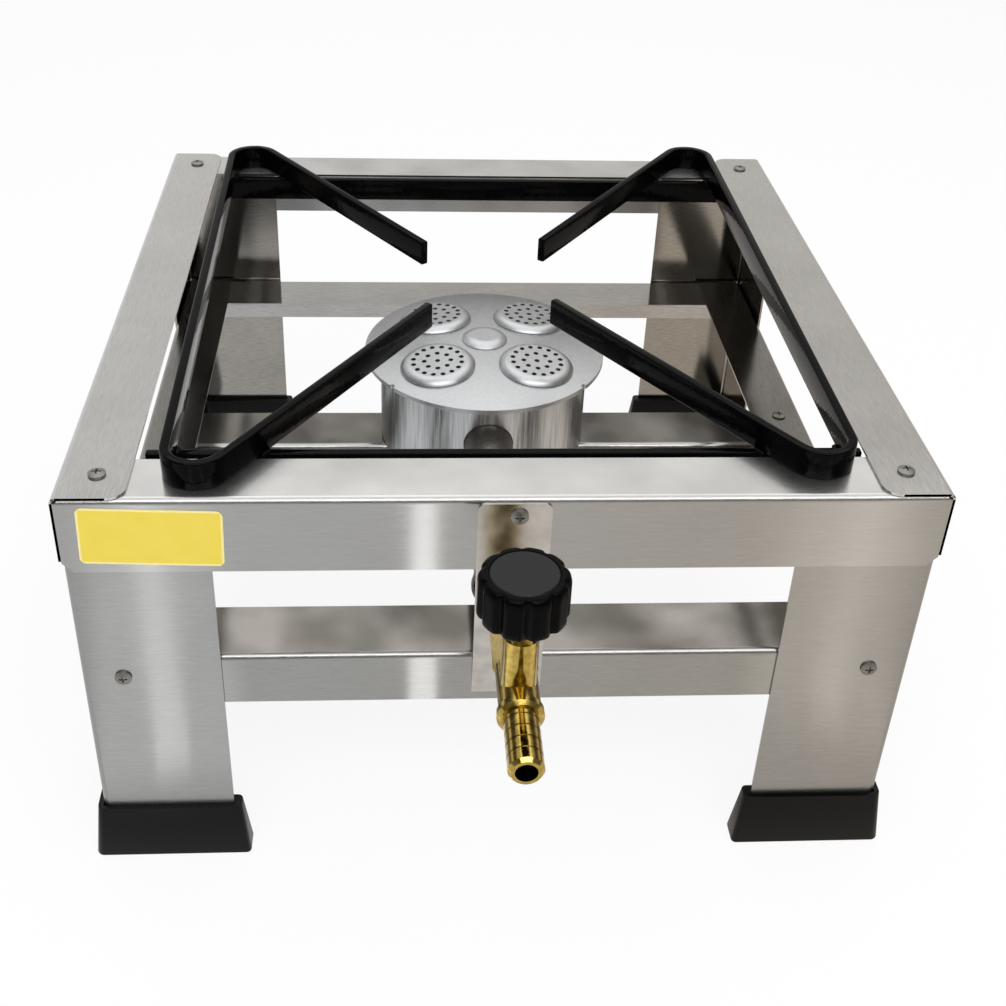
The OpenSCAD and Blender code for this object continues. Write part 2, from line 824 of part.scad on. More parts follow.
// Outside of the valve: shank, shoulder, hexagon, round body and spindle boss
module valve_outside() {
    on_gas_line(shank_back_y) cylinder(d = shank_d, h = shank_back_y - bracket_y + eps);
    on_gas_line(bracket_y) cylinder(d = shoulder_d, h = shoulder_t);
    on_gas_line(bracket_y - shoulder_t + eps)
        cylinder(d = body_flats / cos(30), h = bracket_y - shoulder_t - hex_y + eps, $fn = 6);
    on_gas_line(hex_y + eps) cylinder(d = body_d, h = hex_y - body_front_y + eps);
    translate([line_x, spindle_y, line_z]) cylinder(d = spindle_boss_d, h = spindle_boss_h);
}

// Brass body: the gas enters low at the front, rises through the seat and leaves behind
module valve_body() {
    spigot_y = body_front_y + spigot_len + hole_gap;
    socket_y = bracket_y - 3;
    color("#B08D3C") in_frame() difference() {
        valve_outside();
        on_gas_line(spigot_y)
            cylinder(d = spigot_d + 2 * thread_gap, h = spigot_y - body_front_y + eps);
        translate([0, 0, -inlet_drop]) on_gas_line(spindle_y)
            cylinder(d = inlet_d, h = spindle_y - spigot_y + 1);
        translate([line_x, spindle_y, line_z - inlet_drop])
            cylinder(r = seat_r, h = seat_rise + inlet_drop + eps);
        translate([line_x, spindle_y, line_z + seat_rise])
            cylinder(d = thread_d + 2 * thread_gap, h = spindle_boss_h - seat_rise + eps);
        translate([0, 0, outlet_rise]) on_gas_line(socket_y + 1)
            cylinder(d = outlet_d, h = socket_y + 1 - spindle_y);
        on_gas_line(shank_back_y + eps) cylinder(d = socket_d, h = shank_back_y - socket_y + eps);
        translate([line_x, spindle_y, boss_top_z - gland_bore_len])
            cylinder(d = gland_bore_d, h = gland_bore_len + eps);
    }
}

module valve_lock_nut() {
    color("#A98638") in_frame() on_gas_line(-half_d)
        hex_nut(lock_nut_flats, lock_nut_t, shank_d);
}

// Injector: a spigot in the valve's back, a hexagon and a drilled nozzle
module injector() {
    flats = 10;
    hex_t = 5;
    nozzle_len = 4;
    total = socket_len + hex_t + nozzle_len;
    color("#B8954A") in_frame() on_gas_line(shank_back_y + hex_t + nozzle_len) difference() {
        union() {
            cylinder(r1 = 2, r2 = 4, h = nozzle_len);
            translate([0, 0, nozzle_len]) cylinder(d = flats / cos(30), h = hex_t, $fn = 6);
            translate([0, 0, nozzle_len + hex_t])
                cylinder(d = socket_d - 2 * thread_gap, h = socket_len);
        }
        translate([0, 0, -eps]) cylinder(d = jet_d, h = total, $fn = 24);
        translate([0, 0, nozzle_len / 2]) cylinder(d = 3, h = total);
    }
}

// Hose barb: a spigot in the body, a collar, and four fine grooves on a straight barb
module hose_barb() {
    barb_r = barb_d / 2;
    bore_r = barb_bore / 2;
    rings = 4;
    groove_w = 0.7;
    groove_deep = 0.35;
    nose = 1.6;
    nose_bevel = 1.3;
    bore_in_collar = 4;
    first_groove = 3;
    pitch = (barb_len - first_groove - nose) / rings;
    color("#C39B3F") in_frame() difference() {
        union() {
            on_gas_line(body_front_y + spigot_len)
                cylinder(d = spigot_d, h = spigot_len + eps);
            on_gas_line(body_front_y) rotate_extrude()
                polygon([
                    [0, 0], [collar_d / 2 - 0.8, 0], [collar_d / 2, 0.8],
                    [collar_d / 2, collar_t - 1.6], [collar_d / 2 - 1.6, collar_t],
                    [barb_r, collar_t], [barb_r, collar_t + barb_len - nose],
                    [barb_r - nose_bevel, collar_t + barb_len], [0, collar_t + barb_len]
                ]);
        }
        for (i = [0 : rings - 1])
            on_gas_line(body_front_y - collar_t - first_groove - i * pitch) difference() {
                cylinder(r = barb_r + eps, h = groove_w);
                translate([0, 0, -eps])
                    cylinder(r = barb_r - groove_deep, h = groove_w + 2 * eps);
            }
        on_gas_line(body_front_y - collar_t + bore_in_collar)
            cylinder(r = bore_r, h = bore_in_collar + barb_len + eps);
        on_gas_line(body_front_y + spigot_len + eps)
            cylinder(d = inlet_d, h = spigot_len + collar_t + eps);
    }
}

// Gland nut: a threaded skirt in the boss and a hexagon on top of it
module gland_nut() {
    skirt_d = gland_bore_d - 2 * thread_gap;
    skirt_len = gland_bore_len - 0.6;
    color("#B08D3C") in_frame() translate([line_x, spindle_y, boss_top_z]) difference() {
        union() {
            translate([0, 0, -skirt_len]) cylinder(d = skirt_d, h = skirt_len + eps);
            cylinder(d = gland_flats / cos(30), h = gland_hex_h, $fn = 6);
        }
        translate([0, 0, -skirt_len - eps])
            cylinder(d = spindle_d + 2 * run_gap, h = skirt_len + gland_hex_h + 2 * eps);
    }
}

// Rubber ring that rises with the spindle and seals it in the boss
module spindle_seal() {
    color("#1E1E1E") in_frame() translate([line_x, spindle_y, seal_z])
        rotate_extrude() translate([seal_mid_r, 0]) circle(seal_wire_r, $fn = 24);
}

// Spindle: needle point, neck, thread, seal groove and plain shaft, bored for its screw
module valve_spindle() {
    tip_r = 0.5;
    neck_r = 2.4;
    top_r = spindle_d / 2;
    thread_r = thread_d / 2 - thread_gap;
    needle_r = seat_r - thread_gap;
    groove_h = 2 * seal_wire_r + 0.6;
    groove_z = seal_z - groove_h / 2;
    thread_top = thread_z + thread_len;
    screw_bore = 8;
    seat_z = line_z + seat_rise;
    color("#C7A44E") in_frame() translate([line_x, spindle_y, 0]) difference() {
        rotate_extrude()
            polygon([
                [0, seat_z - 2], [tip_r, seat_z - 2], [needle_r, seat_z],
                [neck_r, seat_z + 3], [neck_r, thread_z], [thread_r, thread_z],
                [thread_r, thread_top], [top_r, thread_top], [top_r, groove_z],
                [seal_groove_r, groove_z], [seal_groove_r, groove_z + groove_h],
                [top_r, groove_z + groove_h], [top_r, spindle_top_z], [0, spindle_top_z]
            ]);
        translate([0, 0, spindle_top_z - screw_bore])
            cylinder(r = knob_screw_r + thread_gap, h = screw_bore + eps);
    }
}

// Fluted black knob with a recess below and a stepped recess for its screw and disc
module knob() {
    knob_r = knob_d / 2;
    edge = 1.2;
    hub_r = 6;
    recess_h = 6;
    color("#1B1C1D") in_frame() translate([line_x, spindle_y, knob_z]) difference() {
        rotate_extrude()
            polygon([
                [0, 0], [knob_r - edge, 0], [knob_r, edge],
                [knob_r, knob_h - 2 * edge], [knob_r - edge, knob_h - edge / 2],
                [knob_r - 2 * edge, knob_h], [0, knob_h]
            ]);
        for (i = [0 : flutes - 1])
            rotate([0, 0, (i + 0.5) * 360 / flutes])
                translate([knob_r + flute_r - flute_depth, 0, -eps])
                    cylinder(r = flute_r, h = knob_h + 2 * eps, $fn = 32);
        difference() {
            translate([0, 0, -eps]) cylinder(r = disc_d / 2, h = recess_h + eps);
            translate([0, 0, -2 * eps]) cylinder(r = hub_r, h = recess_h + 4 * eps);
        }
        translate([0, 0, -eps])
            cylinder(d = spindle_d + 2 * thread_gap, h = spindle_top_z - knob_z + eps);
        cylinder(r = knob_screw_r + hole_gap, h = knob_h);
        translate([0, 0, web_top_z - knob_z]) cylinder(r = hub_r, h = knob_h);
        translate([0, 0, knob_h - disc_t])
            cylinder(d = disc_d + 2 * hole_gap, h = disc_t + eps);
    }
}

module knob_screw() {
    head_r = 3.2;
    head_t = 2;
    shank_len = 7;
    slot_len = 3.6;
    slot_w = 0.8;
    color("#9A9A9A") in_frame() translate([line_x, spindle_y, web_top_z]) difference() {
        union() {
            cylinder(r = head_r, h = head_t);
            translate([0, 0, -shank_len]) cylinder(r = knob_screw_r, h = shank_len + eps);
        }
        for (turn = [0, 90])
            rotate([0, 0, turn])
                translate([-slot_len / 2, -slot_w / 2, head_t / 2])
                    cube([slot_len, slot_w, head_t]);
    }
}

module knob_disc() {
    rim = 0.5;
    color("#2F3133") in_frame() translate([line_x, spindle_y, knob_top_z - disc_t])
        rotate_extrude()
            polygon([
                [0, 0], [disc_d / 2, 0], [disc_d / 2, disc_t - rim],
                [disc_d / 2 - rim, disc_t], [0, disc_t]
            ]);
}

// One face of a hairpin's back bend and arm, at a distance out from the bar's middle
function bend_and_arm(tip_x, out) =
    let (
        centre = [run_x - hairpin_r, bend_y],
        to_tip = [tip_x, tip_y] - centre,
        reach = norm(to_tip),
        turn = 360 + atan2(to_tip.y, to_tip.x) - acos(hairpin_r / reach),
        arm_len = sqrt(reach * reach - hairpin_r * hairpin_r)
    ) [
        for (i = [0 : bend_steps])
            centre + (hairpin_r + out) * heading(i * turn / bend_steps),
        centre + (hairpin_r + out) * heading(turn) + arm_len * heading(turn + 90)
    ];

// Unit step in a direction
function heading(angle) = [cos(angle), sin(angle)];

// The same points from the last to the first
function backwards(points) = [for (i = [len(points) - 1 : -1 : 0]) points[i]];

// The same points in front of the middle
function in_front(points) = [for (p = points) [p.x, -p.y]];

// Puts a piece of the grate where the grate lies in the stand
module in_grate() {
    in_frame() translate([grate_shift, 0, 0]) children();
}

// Right hairpin: one flat bar on edge, bent round twice so that both ends point inwards
module hairpin(tip_x) {
    outside = bend_and_arm(tip_x, grate_bar_t / 2);
    inside = bend_and_arm(tip_x, -grate_bar_t / 2);
    translate([0, 0, rail_z]) linear_extrude(grate_bar_h)
        polygon(concat(
            in_front(backwards(outside)), outside,
            backwards(inside), in_front(inside)
        ));
}

module right_hairpin() {
    color("#0E0E0F") in_grate() translate([0, right_hairpin_back, 0]) hairpin(right_tip_x);
}

module left_hairpin() {
    color("#0E0E0F") in_grate()
        translate([-run_x, -left_hairpin_forward, 0])
            rotate([0, 0, left_hairpin_turn])
                translate([run_x, 0, 0])
                    mirror([1, 0, 0]) hairpin(left_tip_x);
}

// Lower bars of the grate, welded under both hairpins: they keep it between the rails
module grate_cross_bar() {
    translate([-grate_x, -grate_y, rail_z - grate_bar_h])
        cube([2 * grate_x, grate_bar_t, grate_bar_h]);
}

module grate_front_bar() {
    color("#0E0E0F") in_grate() grate_cross_bar();
}

module grate_back_bar() {
    color("#0E0E0F") in_grate() mirror([0, 1, 0]) grate_cross_bar();
}

// Blank vinyl sticker on the front rail's face
module front_sticker() {
    film_t = 0.3;
    corner_r = 3;
    sticker_drop = 20;
    color("#E8D34A") in_frame()
        translate([-half_w + sticker_in, -half_d, rail_z - sticker_drop])
            rotate([90, 0, 0]) rotate([0, 0, -sticker_tilt]) difference() {
                translate([-sticker_w / 2, -sticker_h / 2, 0])
                    cube([sticker_w, sticker_h, film_t]);
                for (side = [0, 1], end = [0, 1])
                    mirror([side, 0, 0]) mirror([0, end, 0])
                        translate([sticker_w / 2, sticker_h / 2, 0])
                            round_edge(corner_r, film_t);
            }
}

front_rail();
back_rail();
left_side_rail();
right_side_rail();
front_left_leg();
front_right_leg();
back_left_leg();
back_right_leg();
front_left_foot();
front_right_foot();
back_left_foot();
back_right_foot();
front_brace();
back_brace();
left_brace();
right_brace();
burner_bar();
rail_screws();
rail_nuts();
leg_screws();
leg_nuts();
bar_screws();
bar_nuts();
burner_base();
burner_cap();
burner_bolt();
bolt_washer();
mixing_tube();
valve_bracket();
bracket_screw();
bracket_nut();
valve_body();
valve_lock_nut();
injector();
hose_barb();
gland_nut();
spindle_seal();
valve_spindle();
knob();
knob_screw();
knob_disc();
left_hairpin();
right_hairpin();
grate_front_bar();
grate_back_bar();
front_sticker();
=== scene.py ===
# %% [markdown]
# # A high-pressure gas burner, dressed for the camera
# The stand, the burner, the valve and the grate already exist at their real size.
# This lesson loads them as a fixed frame, gives every surface the finish of the real
# object, and models what the frame leaves plain: rounded bars, weld beads, moulded
# feet and a fluted knob. Everything is in metres, with Z up and the floor at Z = 0.

import math

import bmesh
import bpy
from mathutils import Matrix, Vector


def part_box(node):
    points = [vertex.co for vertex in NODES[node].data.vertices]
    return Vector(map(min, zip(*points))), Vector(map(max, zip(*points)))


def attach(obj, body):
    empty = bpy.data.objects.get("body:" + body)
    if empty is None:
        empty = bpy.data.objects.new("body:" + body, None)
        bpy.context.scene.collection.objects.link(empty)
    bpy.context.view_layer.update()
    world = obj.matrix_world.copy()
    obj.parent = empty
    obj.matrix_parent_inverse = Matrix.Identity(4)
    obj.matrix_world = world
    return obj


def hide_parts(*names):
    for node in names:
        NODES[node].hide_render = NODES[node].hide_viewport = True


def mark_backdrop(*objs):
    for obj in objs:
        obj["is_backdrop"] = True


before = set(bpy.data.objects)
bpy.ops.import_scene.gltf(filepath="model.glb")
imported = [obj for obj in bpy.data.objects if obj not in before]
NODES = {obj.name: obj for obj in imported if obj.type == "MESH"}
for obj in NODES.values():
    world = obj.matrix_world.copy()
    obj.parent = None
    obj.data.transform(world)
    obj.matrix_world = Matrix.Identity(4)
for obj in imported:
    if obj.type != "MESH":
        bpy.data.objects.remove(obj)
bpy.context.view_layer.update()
MM = 0.001


# %% [markdown]
# ## The camera
# The photograph was taken from the front, a little left of the middle and well above
# the stand. The horizon is out of the picture, so the lens, the height and the tilt
# were worked out from where the stand's corners lie. A small shift stands in for a
# picture that was cropped after it was taken.

# %% Place the camera
SENSOR_MM = 36
LENS_MM = 49.0
CAMERA_AT = Vector((-0.0493, -0.6404, 0.5705))
TILT_DOWN = 0.572
TURN_RIGHT = 0.072
ROLL = 0.037
CROP_SHIFT = (0.0211, -0.0698)
NEAREST = 0.01

camera_data = bpy.data.cameras.new("camera")
camera_data.sensor_width = SENSOR_MM
camera_data.lens = LENS_MM
camera_data.shift_x, camera_data.shift_y = CROP_SHIFT
camera_data.clip_start = NEAREST
camera = bpy.data.objects.new("camera", camera_data)
bpy.context.scene.collection.objects.link(camera)
camera.matrix_world = (
    Matrix.Translation(CAMERA_AT)
    @ Matrix.Rotation(-TURN_RIGHT, 4, "Z")
    @ Matrix.Rotation(math.pi / 2 - TILT_DOWN, 4, "X")
    @ Matrix.Rotation(ROLL, 4, "Z")
)
bpy.context.scene.camera = camera
bpy.context.scene.view_settings.view_transform = "Standard"
print("camera height", round(CAMERA_AT.z, 3), "m")
print("camera tilt", round(math.degrees(TILT_DOWN), 1), "degrees")


# %% [markdown]
# ## Two small helpers for every material
# Colours are written as they look on a screen, and one function turns them to the
# linear values that a shader adds up. One more function adds a node, sets its
# properties and fills or links its sockets, so a material reads from top to bottom.

# %% Colour and node helpers
def colour(hex_code):
    """Linear colour with alpha from an sRGB hex code."""
    parts = [int(hex_code[i : i + 2], 16) / 255 for i in (1, 3, 5)]
    linear = [c / 12.92 if c <= 0.04045 else ((c + 0.055) / 1.055) ** 2.4 for c in parts]
    return (*linear, 1.0)


def add_node(tree, kind, sockets=None, **settings):
    """Adds one node, with its properties, and with values or links for its sockets."""
    made = tree.nodes.new(kind)
    for key, value in settings.items():
        setattr(made, key, value)
    for socket, value in (sockets or {}).items():
        if isinstance(value, bpy.types.NodeSocket):
            tree.links.new(value, made.inputs[socket])
        else:
            made.inputs[socket].default_value = value
    return made


def start_material(name):
    """Empty material with its tree and the position that every pattern reads."""
    made = bpy.data.materials.new(name)
    made.use_nodes = True
    tree = made.node_tree
    tree.nodes.clear()
    place = add_node(tree, "ShaderNodeTexCoord").outputs["Object"]
    return made, tree, place


def finish_material(made, tree, shader):
    """Ends a material with its output."""
    add_node(tree, "ShaderNodeOutputMaterial", {"Surface": shader})
    print("material", made.name, "with", len(tree.nodes), "nodes")
    return made


# Numbers of the sockets of a colour mix
FACTOR, FIRST, SECOND, MIXED = 0, 6, 7, 2


# %% [markdown]
# ## Floor, backdrop and light
# The photograph is cut out on pure white, so the floor has to reach white by its own
# colour and not by a stronger lamp. A share of the floor glows at strength 1 for the
# camera and for reflections only, and the rest is a white board that still takes the
# stand's shadow. In reflections the floor turns a little warmer to the right, because
# the right half of the photographed stand does.

# %% Floor and world
FLOOR_HALF = 6.0
FLOOR_GLOW = 0.88
EVEN_LIGHT = 0.33
ROOM_LEFT = "#FFFFFF"
ROOM_RIGHT = "#D0CAC1"
ROOM_FRONT = "#86847F"
FLOOR_RIGHT = "#FBEFE1"
WARM_FROM_X, WARM_TO_X = -0.1, 0.2
BOARD_GRAIN = 40.0
WHITE = (1, 1, 1, 1)


def seen_directly(tree):
    """1 for camera, glossy and transmission rays, which should all see the white background."""
    path = add_node(tree, "ShaderNodeLightPath")
    glossy = add_node(
        tree,
        "ShaderNodeMath",
        {0: path.outputs["Is Camera Ray"], 1: path.outputs["Is Glossy Ray"]},
        operation="MAXIMUM",
    )
    both = add_node(
        tree,
        "ShaderNodeMath",
        {0: glossy.outputs[0], 1: path.outputs["Is Transmission Ray"]},
        operation="MAXIMUM",
    )
    return both.outputs[0]


def white_board():
    """Matt white board that glows a little where it is seen."""
    made, tree, place = start_material("white_board")
    grain = add_node(tree, "ShaderNodeTexNoise", {"Vector": place, "Scale": BOARD_GRAIN})
    tint = add_node(
        tree,
        "ShaderNodeMix",
        {FACTOR: grain.outputs["Fac"], FIRST: colour("#F4F4F3"), SECOND: colour("#F8F8F8")},
        data_type="RGBA",
    )
    board = add_node(
        tree,
        "ShaderNodeBsdfPrincipled",
        {"Base Color": tint.outputs[MIXED], "Roughness": 0.9, "Specular IOR Level": 0.1},
    )
    axes = add_node(tree, "ShaderNodeSeparateXYZ", {0: place})
    to_right = add_node(
        tree,
        "ShaderNodeMapRange",
        {"Value": axes.outputs["X"], "From Min": WARM_FROM_X, "From Max": WARM_TO_X},
    )
    warmth = add_node(
        tree,
        "ShaderNodeMix",
        {FACTOR: to_right.outputs[0], FIRST: WHITE, SECOND: colour(FLOOR_RIGHT)},
        data_type="RGBA",
    )
    path = add_node(tree, "ShaderNodeLightPath")
    shown = add_node(
        tree,
        "ShaderNodeMix",
        {FACTOR: path.outputs["Is Camera Ray"], FIRST: warmth.outputs[MIXED], SECOND: WHITE},
        data_type="RGBA",
    )
    glow = add_node(tree, "ShaderNodeEmission", {"Color": shown.outputs[MIXED], "Strength": 1.0})
    share = add_node(
        tree, "ShaderNodeMath", {0: seen_directly(tree), 1: FLOOR_GLOW}, operation="MULTIPLY"
    )
    both = add_node(
        tree,
        "ShaderNodeMixShader",
        {0: share.outputs[0], 1: board.outputs[0], 2: glow.outputs[0]},
    )
    return finish_material(made, tree, both.outputs[0])


def add_floor():
    """Large square floor at Z = 0."""
    mesh = bpy.data.meshes.new("floor")
    shape = bmesh.new()
    bmesh.ops.create_grid(shape, x_segments=1, y_segments=1, size=FLOOR_HALF)
    shape.to_mesh(mesh)
    shape.free()
    floor = bpy.data.objects.new("floor", mesh)
    bpy.context.scene.collection.objects.link(floor)
    mesh.materials.append(white_board())
    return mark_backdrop(floor)


def set_world():
    """White for the camera, a plain even light, and for metal a room with a darker side."""
    world = bpy.data.worlds.new("studio")
    world.use_nodes = True
    tree = world.node_tree
    tree.nodes.clear()
    heading = add_node(tree, "ShaderNodeTexCoord").outputs["Generated"]
    axes = add_node(tree, "ShaderNodeSeparateXYZ", {0: heading})
    to_right = add_node(
        tree, "ShaderNodeMapRange", {"Value": axes.outputs["X"], "From Min": -0.7, "From Max": 0.7}
    )
    sides = add_node(
        tree,
        "ShaderNodeMix",
        {FACTOR: to_right.outputs[0], FIRST: colour(ROOM_LEFT), SECOND: colour(ROOM_RIGHT)},
        data_type="RGBA",
    )
    to_front = add_node(
        tree, "ShaderNodeMapRange", {"Value": axes.outputs["Y"], "From Min": 0.6, "From Max": -0.4}
    )
    room = add_node(
        tree,
        "ShaderNodeMix",
        {FACTOR: to_front.outputs[0], FIRST: sides.outputs[MIXED], SECOND: colour(ROOM_FRONT)},
        data_type="RGBA",
    )
    path = add_node(tree, "ShaderNodeLightPath")
    white = add_node(
        tree,
        "ShaderNodeMix",
        {FACTOR: path.outputs["Is Camera Ray"], FIRST: room.outputs[MIXED], SECOND: WHITE},
        data_type="RGBA",
    )
    seen = add_node(tree, "ShaderNodeBackground", {"Color": white.outputs[MIXED], "Strength": 1.0})
    light = add_node(tree, "ShaderNodeBackground", {"Color": WHITE, "Strength": EVEN_LIGHT})
    both = add_node(
        tree,
        "ShaderNodeMixShader",
        {0: seen_directly(tree), 1: light.outputs[0], 2: seen.outputs[0]},
    )
    add_node(tree, "ShaderNodeOutputWorld", {"Surface": both.outputs[0]})
    bpy.context.scene.world = world


add_floor()
set_world()


# %% [markdown]
# ## Lamps
# Two big soft boxes give the even light. The bright upright bands on the legs and on
# the front rail are something else: a front face mirrors the floor before it, so each
# band is a narrow lamp on the floor, where the camera's mirrored line of sight meets
# it. These strips are switched off for diffuse light, so only shiny faces show them
# and the sticker stays as it is. A thin strip above a wide one gives a band soft
# sides. It lies a centimetre higher, because of two lamps in one plane only one shows.

# %% Soft lamps
STAND_MIDDLE = (0, 0, 0.15)
FACE_Y = -0.153
STRIP_MIDDLE_Y = -0.7
STRIP_LONG = 1.05
LOW_STRIP, HIGH_STRIP = 0.01, 0.02
WARM_TINT = "#FFF6EA"


def lamp(name, place, width, length, watts, tint="#FFFFFF"):
    """Rectangular lamp that shines down its own Z axis."""
    data = bpy.data.lights.new(name, "AREA")
    data.shape = "RECTANGLE"
    data.size = width
    data.size_y = length
    data.energy = watts
    data.color = colour(tint)[:3]
    made = bpy.data.objects.new(name, data)
    bpy.context.scene.collection.objects.link(made)
    made.matrix_world = place
    print("lamp", name, watts, "W")
    return made


def soft_box(name, at, towards, width, length, watts):
    """Soft box that faces a point and lights everything."""
    aim = (Vector(towards) - Vector(at)).to_track_quat("-Z", "Y")
    return lamp(name, Matrix.Translation(at) @ aim.to_matrix().to_4x4(), width, length, watts)


def floor_strip(name, face_x, width, watts, tint="#FFFFFF", height=LOW_STRIP):
    """Strip on the floor that front faces mirror at one place across, in reflections only."""
    away = Vector((face_x, FACE_Y)) - Vector((CAMERA_AT.x, 2 * FACE_Y - CAMERA_AT.y))
    middle = Vector((face_x, FACE_Y)) + away * (STRIP_MIDDLE_Y - FACE_Y) / away.y
    place = (
        Matrix.Translation((middle.x, middle.y, height))
        @ Matrix.Rotation(math.atan2(away.x, -away.y), 4, "Z")
        @ Matrix.Rotation(math.pi, 4, "X")
    )
    strip = lamp(name, place, width, STRIP_LONG, watts, tint)
    strip.visible_camera = False
    strip.visible_diffuse = False
    return strip


soft_box("top_box", (0.1, 0.0, 2.0), STAND_MIDDLE, 4.0, 2.6, 42)
soft_box("front_box", (0.0, -1.3, 1.7), STAND_MIDDLE, 2.2, 0.5, 17)
floor_strip("left_wide_strip", -0.16, 0.08, 0.08)
floor_strip("left_thin_strip", -0.161, 0.018, 0.04, height=HIGH_STRIP)
floor_strip("middle_strip", -0.038, 0.016, 0.085)
floor_strip("right_wide_strip", 0.157, 0.08, 0.08, WARM_TINT)
floor_strip("right_thin_strip", 0.162, 0.018, 0.022, WARM_TINT, HIGH_STRIP)


# %% [markdown]
# ## Brushed stainless sheet
# The stand is bent from stainless sheet that was brushed on a belt before it was cut.
# The belt leaves short scratches that all run along the sheet's length. They are a
# tenth of a millimetre wide, too fine for this picture, so they are drawn at half a
# millimetre. A noise that is stretched along the grain gives them, in the colour, the
# roughness and a faint bump. The reflections spread across the grain, which is what
# an anisotropic shader does once it is told which way the grain runs.

# %% Stainless material
GRAIN_LONG_MM = 7
GRAIN_WIDE_MM = 0.45
GRAIN_DEEP_MM = 0.012
CLOUD_MM = 45


def per_metre(millimetres):
    """How many times a pattern of this size repeats in a metre."""
    return 1 / (millimetres * MM)


def brushed_stainless(
    name, along, pale="#A4A4A3", dark="#9A9A99", top=None, smooth=0.15, rough=0.22
):
    """Brushed sheet whose grain runs along X, along Y, or level round an upright piece.
    top gives faces that look up two colours of their own: painted top light when paler, painted
    shade when darker."""
    made, tree, place = start_material(name)
    long, wide = per_metre(GRAIN_LONG_MM), per_metre(GRAIN_WIDE_MM)
    stretch = {
        "x": (long, wide, wide),
        "y": (wide, long, wide),
        "level": (long, long, wide),
    }[along]
    stretched = add_node(tree, "ShaderNodeMapping", {"Vector": place, "Scale": stretch})
    grain = add_node(
        tree,
        "ShaderNodeTexNoise",
        {"Vector": stretched.outputs[0], "Scale": 1.0, "Detail": 3.0, "Roughness": 0.6},
    )
    cloud = add_node(
        tree, "ShaderNodeTexNoise", {"Vector": place, "Scale": per_metre(CLOUD_MM), "Detail": 2.0}
    )
    sum_of_both = add_node(
        tree,
        "ShaderNodeMix",
        {0: 0.3, 2: grain.outputs["Fac"], 3: cloud.outputs["Fac"]},
        data_type="FLOAT",
    )
    contrast = add_node(
        tree,
        "ShaderNodeMapRange",
        {"Value": sum_of_both.outputs[0], "From Min": 0.32, "From Max": 0.68},
    )
    tint = add_node(
        tree,
        "ShaderNodeMix",
        {FACTOR: contrast.outputs[0], FIRST: colour(dark), SECOND: colour(pale)},
        data_type="RGBA",
    )
    normal = add_node(tree, "ShaderNodeNewGeometry").outputs["Normal"]
    # Painted light and shade: faces that look up take the top colours instead of the sheet's own.
    if top:
        patches = add_node(
            tree,
            "ShaderNodeMapRange",
            {"Value": cloud.outputs["Fac"], "From Min": 0.35, "From Max": 0.65},
        )
        painted_top_light_colours = add_node(
            tree,
            "ShaderNodeMix",
            {FACTOR: patches.outputs[0], FIRST: colour(top[0]), SECOND: colour(top[1])},
            data_type="RGBA",
        )
        facing = add_node(tree, "ShaderNodeSeparateXYZ", {0: normal})
        painted_top_light_mask = add_node(
            tree,
            "ShaderNodeMapRange",
            {"Value": facing.outputs["Z"], "From Min": 0.93, "From Max": 0.999},
        )
        tint = add_node(
            tree,
            "ShaderNodeMix",
            {
                FACTOR: painted_top_light_mask.outputs[0],
                FIRST: tint.outputs[MIXED],
                SECOND: painted_top_light_colours.outputs[MIXED],
            },
            data_type="RGBA",
        )
    gloss = add_node(
        tree,
        "ShaderNodeMapRange",
        {"Value": grain.outputs["Fac"], "To Min": smooth, "To Max": rough},
    )
    bump = add_node(
        tree,
        "ShaderNodeBump",
        {"Height": grain.outputs["Fac"], "Strength": 1.0, "Distance": GRAIN_DEEP_MM * MM},
    )
    if along == "level":
        spread = add_node(tree, "ShaderNodeCombineXYZ", {2: 1.0})
    else:
        grain_runs = (float(along == "x"), float(along == "y"), 0)
        spread = add_node(
            tree, "ShaderNodeVectorMath", {0: normal, 1: grain_runs}, operation="CROSS_PRODUCT"
        )
    sheet = add_node(
        tree,
        "ShaderNodeBsdfPrincipled",
        {
            "Base Color": tint.outputs[MIXED],
            "Metallic": 1.0,
            "Roughness": gloss.outputs[0],
            "Anisotropic": 1.0,
            "Tangent": spread.outputs[0],
            "Normal": bump.outputs[0],
        },
    )
    return finish_material(made, tree, sheet.outputs[0])


# The cross rails' paler top colours are painted top light from the lamp above.
STAINLESS_RAIL = brushed_stainless(
    "brushed_stainless_cross_rails_painted_top_light", "x", top=("#B3B3B2", "#C4C4C3")
)
STAINLESS_SIDE = brushed_stainless("brushed_stainless_side_rails", "y", "#CBCBCA", "#B5B5B4")
# The darker top colours of the front brace and the burner bar are painted shade from the parts
# above them.
STAINLESS_BRACE = brushed_stainless(
    "brushed_stainless_cross_braces_painted_top_shade", "x", "#9C9C9A", "#8F8F8D", top=("#65625D", "#93908B")
)
# Away from the belt's side the sheet keeps more of the mill's own polish
STAINLESS_BACK = brushed_stainless(
    "mill_stainless_back_brace", "x", "#B2B1AF", "#979694", smooth=0.08, rough=0.16
)
STAINLESS_LOW = brushed_stainless(
    "mill_stainless_side_braces", "y", "#91908D", "#72706C", smooth=0.08, rough=0.14
)
STAINLESS_LEG = brushed_stainless("brushed_stainless_front_legs", "level", "#989897", "#8D8D8C")
# The back legs' warmer, blotchier colours are a painted warm reflection; their smoothness is the
# mill's polish.
STAINLESS_FAR_LEG = brushed_stainless(
    "mill_stainless_back_legs_painted_warm_reflection", "level", "#A39F99", "#7F7C77", smooth=0.07, rough=0.13
)


# %% [markdown]
# ## The other finishes
# Most of the other surfaces differ in the same few numbers: how dark and how smooth
# they are, how coarse their grain is and how deep it goes. One function makes them
# all, and each call says what the real material is and what it gives the eye.

